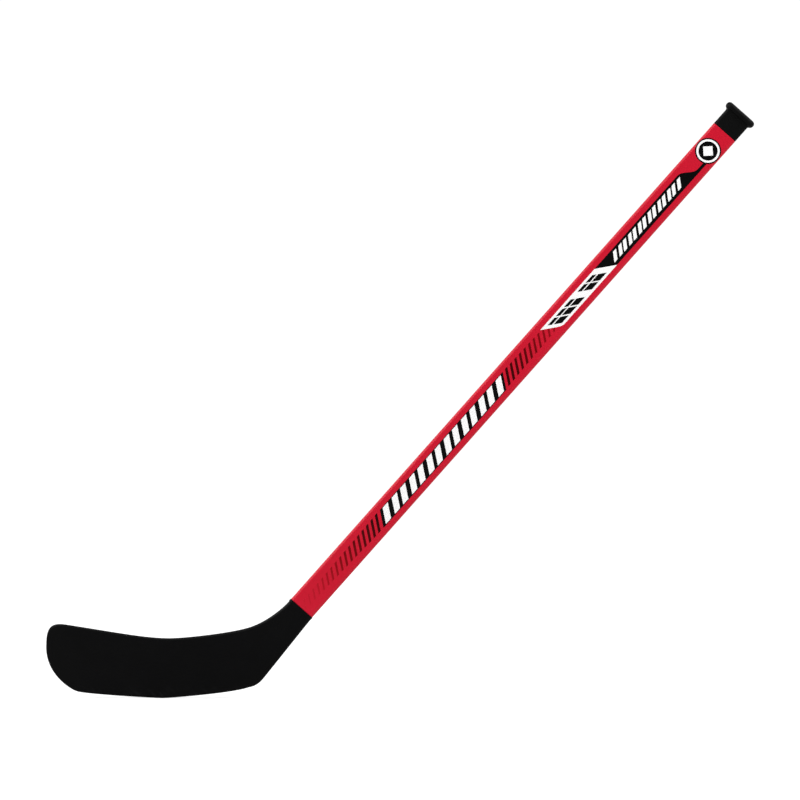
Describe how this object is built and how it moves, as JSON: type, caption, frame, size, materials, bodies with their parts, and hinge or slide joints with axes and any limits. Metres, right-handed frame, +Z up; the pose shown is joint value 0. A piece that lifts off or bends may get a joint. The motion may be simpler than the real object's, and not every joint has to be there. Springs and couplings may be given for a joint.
{
  "type": "ice hockey stick",
  "caption": "Small ice hockey stick: hollow rectangular shaft with printed artwork, moulded curved blade glued in by a tenon, and a flanged butt cap.",
  "frame": {"origin": "where the shaft's centreline meets the plane of the ice that the blade's rocker touches", "axes": "+X along the ice towards the butt, +Z up, +Y towards the forehand side, so the wide faces of the shaft face -Y and +Y"},
  "size_m": [0.6475, 0.0237, 0.5449],
  "materials": {
    "shaft_red": "smooth gloss extruded plastic",
    "blade_black": "fine moulded grain, satin",
    "cap_black": "soft matte moulding",
    "adhesive": "set hot-melt glue",
    "black_print": "gloss ink",
    "white_print": "gloss ink",
    "bar_print": "screened black ink that fades into the red"
  },
  "bodies": {
    "root": {"shaft": "shaft_red", "blade": "blade_black", "blade_adhesive": "adhesive", "butt_cap": "cap_black", "butt_adhesive": "adhesive", "front_lower_bars": "bar_print", "front_band_ground": "black_print", "front_band_blocks": "white_print", "front_upper_bars": "bar_print", "front_size_ground": "white_print", "front_size_blocks": "black_print", "front_name_ground": "black_print", "front_name_blocks": "white_print", "front_roundel_ground": "black_print", "front_roundel_motif": "white_print", "back_lower_bars": "bar_print", "back_band_ground": "black_print", "back_band_blocks": "white_print", "back_upper_bars": "bar_print", "back_size_ground": "white_print", "back_size_blocks": "black_print", "back_name_ground": "black_print", "back_name_blocks": "white_print", "back_roundel_ground": "black_print", "back_roundel_motif": "white_print"}
  },
  "joints": []
}
